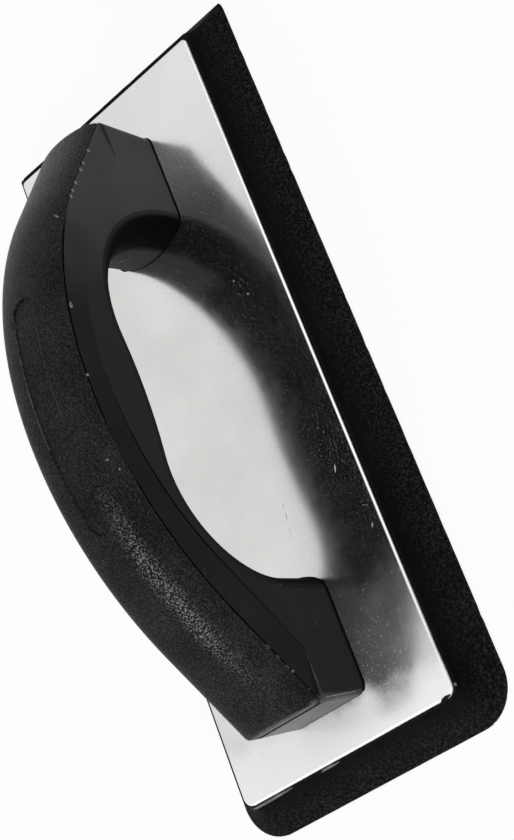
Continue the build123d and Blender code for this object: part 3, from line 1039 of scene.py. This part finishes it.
def open_strip(mesh, edges, half_width):
    """Open edges into a strip two faces wide. Gives its middle line's points and their normals."""
    made = round_edges(mesh, edges, half_width, 2)
    mesh.normal_update()
    strip = set(made["faces"])
    middle = [vert for vert in made["verts"] if strip.issuperset(vert.link_faces)]
    return [(vert, vert.normal.copy()) for vert in middle]


def raise_bead(mesh, edges):
    """Push the feet's lowest edges out over the plate as a bead, less across the heel's end."""
    for vert, normal in open_strip(mesh, edges, FOOT_BEAD):
        outward = Vector((normal.x, normal.y, 0)).normalized()
        share = HEEL_BEAD_SHARE if outward.x < -0.8 else 1.0
        vert.co += outward * FOOT_BEAD_REACH * share
        vert.co.z = body_low.z + HAIR


def cut_groove(mesh, edges, half_width, depth_at):
    """Sink edges into a groove, to a depth that depends on the place."""
    for vert, normal in open_strip(mesh, edges, half_width):
        vert.co -= normal * depth_at(vert.co)


def crease_depth(place):
    """The crease's groove is deep at the heel and fades out over the crown."""
    return CREASE_DEPTH * min(1.0, max(0.0, (CREASE_END - place.x) / CREASE_FADE))


def seam_depth(place):
    """The parting notch is shallow at the toe, where flash fills it, and deep at the heel end."""
    if place.x < body_low.x + SEAM_END_REACH:
        return SEAM_END_DEPTH
    return SEAM_DEPTH * min(1.0, max(SEAM_LEAST, (SEAM_FILLED - place.x) / SEAM_FADE))


def on_seam(place):
    """On the parting line of the lower shell, ends and all."""
    at_end = min(place.x - body_low.x, body_high.x - place.x) < SEAM_NEAR_END
    on_side = abs(place.y) > back_high.y - SEAM_NEAR_SIDE and place.z > ledge + HAIR
    return on_side or at_end and place.z > ledge - HAIR


def is_heel_end(face):
    """The flat end face under the back shell's lip."""
    return face.normal.x < -TRUE_END and face.calc_center_median().x < body_low.x + END_REACH


def cut_heel_end(mesh):
    """Cut the heel's end face across, at the foot of its band of painted shadow."""
    faces = [face for face in mesh.faces if is_heel_end(face)]
    borders = dict.fromkeys(item for face in faces for item in (*face.verts, *face.edges))
    bmesh.ops.bisect_plane(
        mesh,
        geom=[*borders, *faces],
        dist=KNIFE,
        plane_co=(0, 0, lip_shadow_low),
        plane_no=(0, 0, 1),
    )


def lower_shell():
    """The lower shell with its parting notch, its crease's groove and the beads at its feet."""
    shell = welded_copy("handle_body")
    crease = [
        edge
        for edge in shell.edges
        if math.radians(3) < edge.calc_face_angle(0) < SHARP
        and all(body_high.y - abs(vert.co.y) < HAIR for vert in edge.verts)
        and max(face.normal.z for face in edge.link_faces) > 0.03
    ]
    cut_groove(shell, crease, CREASE_HALF_WIDTH, crease_depth)
    cut_groove(shell, sharp_edges(shell, on_seam), SEAM_HALF_WIDTH, seam_depth)
    shoulders = sharp_edges(
        shell, lambda place: abs(place.z - ledge) < HAIR and abs(place.y) > back_high.y
    )
    round_edges(shell, shoulders, LEDGE_ROUND, 2)
    feet = sharp_edges(
        shell, lambda place: place.z < body_low.z + HAIR and clear_of_screws(place)
    )
    raise_bead(shell, feet)
    cut_heel_end(shell)
    return shell


def in_panel(place):
    """Inside the back shell's recessed panel, or on its rim."""
    return abs(place.y) < PANEL_HALF_WIDTH and place.z > back_high.z - PANEL_DROP


# The upper shell's own finishes, by the number a face carries
PLAIN, RIM_HIGHLIGHT = 0, 1


def upper_shell():
    """The back shell with its long rims and its panel's rim rolled, and a lip at its heel end."""
    shell = welded_copy("handle_back")
    lip = sharp_edges(
        shell,
        lambda place: place.x < back_low.x + LIP_LENGTH and place.z < back_low.z + LIP_HEIGHT,
    )
    round_edges(shell, lip, HEEL_LIP, 4)
    rims = sharp_edges(
        shell,
        lambda place: abs(place.y) > back_high.y - RIM_NEAR_SIDE
        and place.x > back_low.x + RIM_START,
    )
    round_edges(shell, rims, SHELL_EDGE_ROUND, 2)
    made = round_edges(shell, sharp_edges(shell, in_panel), PANEL_ROUND, 3)
    shell.normal_update()
    # Painted highlight: along a stretch of each side, the panel's rolled rim and its wall take the
    # grey finish
    walls = [
        face
        for face in shell.faces
        if abs(face.normal.y) > 0.5 and in_panel(face.calc_center_median())
    ]
    for face in made["faces"] + walls:
        middle = face.calc_center_median()
        low, high = RIM_HIGHLIGHT_NEAR if middle.y < 0 else RIM_HIGHLIGHT_FAR
        face.material_index = RIM_HIGHLIGHT if low < middle.x < high else PLAIN
    return shell


# The lower shell's own finishes, by the number a face carries
POLISHED, PAINTED_SHADE, PAINTED_HIGHLIGHT = 0, 1, 2


def finish_of(face):
    """Which finish a face of the lower shell has."""
    middle, normal = face.calc_center_median(), face.normal
    # Painted highlight: the heel foot's ledge and its rounded upright corners take the grey finish
    on_ledge = abs(middle.z - ledge) < LEDGE_ROUND and abs(middle.y) > back_high.y
    leans = CORNER_LEAN[0] < abs(normal.y) < CORNER_LEAN[1] and normal.x < -0.5
    if on_ledge and middle.x < 0 or leans and middle.x < body_low.x + CORNER_REACH:
        return PAINTED_HIGHLIGHT
    # Painted shade: the arch's underside, the bead along the plate and the band under the lip take
    # the black matt finish
    under_arch = abs(normal.y) < TRUE_SIDE and normal.z < 0.02 and abs(middle.x) < ARCH_HALF_RUN
    on_bead = middle.z < body_low.z + FOOT_BEAD
    in_lip_shadow = is_heel_end(face) and middle.z > lip_shadow_low
    return PAINTED_SHADE if under_arch or on_bead or in_lip_shadow else POLISHED


def finished_lower_shell():
    """The lower shell with each face's finish: the arch, the beads and the band under the lip are
    matt black, painted shade; the heel's ledges and upright corners are painted grey as highlight;
    the rest is polished.
    """
    shell = lower_shell()
    shell.normal_update()
    for face in shell.faces:
        face.material_index = finish_of(face)
    return shell


lower = new_piece("lower_shell", finished_lower_shell(), SMOOTH, "shell_smooth", "handle_body")
lower.data.materials.append(SHADE_BLACK)
lower.data.materials.append(SCRATCH_AND_HIGHLIGHT)
upper = new_piece("upper_shell", upper_shell(), GRIP, "shell_grip", "handle_back")
upper.data.materials.append(SCRATCH_AND_HIGHLIGHT)

# ---------------------------------------------------------------- marks

# Pips of flash along the near seam: place along the handle, height, length, slope in degrees
SEAM_PIPS = (
    (79.9, 43.8, 1.6, 39),
    (74.4, 48.3, 1.1, 39),
    (71.6, 50.6, 1.8, 39),
    (65.9, 55.2, 1.3, 39),
    (62.6, 57.7, 1.2, 39),
    (60.2, 59.4, 1.4, 39),
    (20.3, 76.2, 2.2, 12),
    (-2.3, 79.4, 0.9, 0),
    (-84.5, 48.0, 1.5, -39),
    (-87.1, 45.0, 1.3, -39),
    (-89.8, 42.4, 1.8, -39),
    (-91.0, 40.9, 0.8, -39),
    (-96.7, 37.0, 1.0, -39),
)
# Scratches on the heel foot's near side: place along, height, length, slope in degrees
FOOT_SCRATCHES = ((-76.1, 24.0, 7.2, -7), (-85.0, 24.1, 2.2, 20), (-67.0, 25.5, 1.6, 80))
# Scuffs on the back: place along, place across, length, turn in degrees
BACK_SCUFFS = ((52.9, -11.5, 2.6, 38), (-27.0, -10.7, 1.6, 70), (-30.5, -12.2, 1.0, 20))


PIP_WIDTH = 1.2 * MM
SCRATCH_WIDTH = 0.25 * MM
MARK_DEPTH = 0.3 * MM
SCUFF_WIDTH, SCUFF_HEIGHT = 0.6 * MM, 0.5 * MM


def shell_tree(piece):
    """The finished piece's surface, for finding a point on it."""
    mesh = bmesh.new()
    mesh.from_mesh(piece.data)
    tree = BVHTree.FromBMesh(mesh)
    mesh.free()
    return tree


side_tree, back_tree = shell_tree(lower), shell_tree(upper)


def side_marks(rows, width):
    """Marks on the lower shell's near side."""
    marks = bmesh.new()
    for seed, (along, height, length, slope) in enumerate(rows):
        spot = side_tree.find_nearest(Vector((along * MM, -BODY_EDGE, height * MM)))[0]
        size = (length * MM, MARK_DEPTH, width)
        lump(marks, spot, size, math.radians(slope), seed, axis="Y")
    return marks


def back_marks():
    """Scuffs on the upper shell."""
    marks = bmesh.new()
    for seed, (along, across, length, turn) in enumerate(BACK_SCUFFS):
        above = Vector((along * MM, across * MM, back_high.z + 10 * MM))
        spot = back_tree.ray_cast(above, Vector((0, 0, -1)))[0]
        size = (length * MM, SCUFF_WIDTH, SCUFF_HEIGHT)
        lump(marks, spot, size, math.radians(turn), seed + 20)
    return marks


new_piece("seam_pips", side_marks(SEAM_PIPS, PIP_WIDTH), WHITENED_AND_HIGHLIGHT, "shell_smooth")
new_piece("foot_scratches", side_marks(FOOT_SCRATCHES, SCRATCH_WIDTH), SCRATCH_AND_HIGHLIGHT, "shell_smooth")
new_piece("back_scuffs", back_marks(), WHITENED_AND_HIGHLIGHT, "shell_grip")


def corner_marks():
    """A painted highlight up the heel foot's near corner, and a scratch on the toe foot's inner
    face.
    """
    marks = bmesh.new()
    corner = (body_low.x + 1.75 * MM, -13.7 * MM, 23.2 * MM)
    lump(marks, corner, (0.45 * MM, 0.45 * MM, 17.5 * MM), math.radians(-4.3), 50, axis="Y")
    inner = (53.5 * MM, 3.0 * MM, 26.1 * MM)
    lump(marks, inner, (0.5 * MM, 5.4 * MM, 0.3 * MM), math.radians(50), 51, axis="X")
    return marks


new_piece("corner_highlight", corner_marks(), WHITENED_AND_HIGHLIGHT, "shell_smooth")

# Dings raised on the plate: place along, place across, length, turn in degrees
PLATE_DINGS = (
    (-38.0, -11.0, 2.0, 170),
    (-41.5, -10.6, 3.2, 172),
    (-46.5, -9.9, 4.0, 176),
    (16.9, -10.2, 1.8, 120),
    (-37.6, -32.4, 2.4, 160),
    (-51.8, -37.0, 1.6, 60),
    (-58.0, -36.7, 1.4, 150),
    (24.5, -27.0, 0.7, 20),
    (31.0, -24.0, 0.6, 75),
)
DING_WIDTH, DING_HEIGHT = 0.3 * MM, 0.16 * MM


def plate_dings():
    """Small raised burrs where the plate has been knocked and scratched."""
    dings = bmesh.new()
    for seed, (along, across, length, turn) in enumerate(PLATE_DINGS):
        centre = (along * MM, across * MM, plate_high.z)
        size = (length * MM, DING_WIDTH, DING_HEIGHT)
        lump(dings, centre, size, math.radians(turn), seed + 40)
    return dings


new_piece("plate_dings", plate_dings(), STEEL, "plate_steel")

# ---------------------------------------------------------------- stage


def floor_material():
    """White paper that the camera sees nearly evenly lit, with a light shadow kept on it."""
    material, tree = new_material("white_paper_floor")
    path = add(tree, "ShaderNodeLightPath")
    paper = add(tree, "ShaderNodeBsdfDiffuse", Color=linear("#f4f4f4"))
    glow = add(tree, "ShaderNodeEmission", Color=(1, 1, 1, 1), Strength=1.0)
    seen = add(
        tree,
        "ShaderNodeMath",
        MAXIMUM,
        i0=path.outputs["Is Camera Ray"],
        i1=path.outputs["Is Glossy Ray"],
    )
    share = add(tree, "ShaderNodeMath", MULTIPLY, i0=seen.outputs[0], i1=FLOOR_GLOW)
    mixed = add(
        tree, "ShaderNodeMixShader", Fac=share.outputs[0], i1=paper.outputs[0], i2=glow.outputs[0]
    )
    add(tree, "ShaderNodeOutputMaterial", Surface=mixed.outputs[0])
    return material


def make_floor():
    """The floor the float stands on, part of the stage and not of the model."""
    mesh = bmesh.new()
    bmesh.ops.create_grid(mesh, x_segments=1, y_segments=1, size=FLOOR_REACH)
    data = bpy.data.meshes.new("floor")
    mesh.to_mesh(data)
    mesh.free()
    floor = bpy.data.objects.new("floor", data)
    bpy.context.scene.collection.objects.link(floor)
    data.materials.append(floor_material())


def make_world():
    """White surroundings for the camera and for reflections, and plain fill for the rest."""
    world = bpy.data.worlds.new("studio")
    bpy.context.scene.world = world
    world.use_nodes = True
    tree = world.node_tree
    tree.nodes.clear()
    path = add(tree, "ShaderNodeLightPath")
    seen = add(
        tree,
        "ShaderNodeMath",
        MAXIMUM,
        i0=path.outputs["Is Camera Ray"],
        i1=path.outputs["Is Glossy Ray"],
    )
    also = add(
        tree, "ShaderNodeMath", MAXIMUM, i0=seen.outputs[0], i1=path.outputs["Is Transmission Ray"]
    )
    level = add(tree, "ShaderNodeMapRange", Value=also.outputs[0], To_Min=FILL_LEVEL, To_Max=1.0)
    back = add(tree, "ShaderNodeBackground", Color=(1, 1, 1, 1), Strength=level.outputs[0])
    add(tree, "ShaderNodeOutputWorld", Surface=back.outputs[0])


def make_lamp(name, place, power, size):
    """A soft square lamp aimed at the middle of the handle."""
    lamp = bpy.data.lights.new(name, "AREA")
    lamp.shape = "SQUARE"
    lamp.size = size
    lamp.energy = power
    holder = bpy.data.objects.new(name, lamp)
    bpy.context.scene.collection.objects.link(holder)
    holder.location = place
    holder.rotation_mode = "QUATERNION"
    holder.rotation_quaternion = (LAMP_AIM - place).to_track_quat("-Z", "Y")


def make_camera():
    """The camera, above the float's heel and to its right."""
    camera = bpy.data.cameras.new("camera")
    camera.lens = CAMERA_LENS
    camera.sensor_width = 36.0
    camera.sensor_fit = "AUTO"
    camera.clip_start = 0.01
    camera.clip_end = 50.0
    holder = bpy.data.objects.new("camera", camera)
    bpy.context.scene.collection.objects.link(holder)
    turn = Matrix(CAMERA_AXES).transposed()
    holder.matrix_world = Matrix.Translation(CAMERA_PLACE) @ turn.to_4x4()
    bpy.context.scene.camera = holder


make_floor()
make_world()
make_lamp("key_lamp", KEY_PLACE, KEY_POWER, KEY_SIZE)
make_lamp("end_lamp", END_PLACE, END_POWER, END_SIZE)
make_lamp("side_lamp", SIDE_PLACE, SIDE_POWER, SIDE_SIZE)
make_camera()
bpy.context.scene.view_settings.view_transform = "Standard"
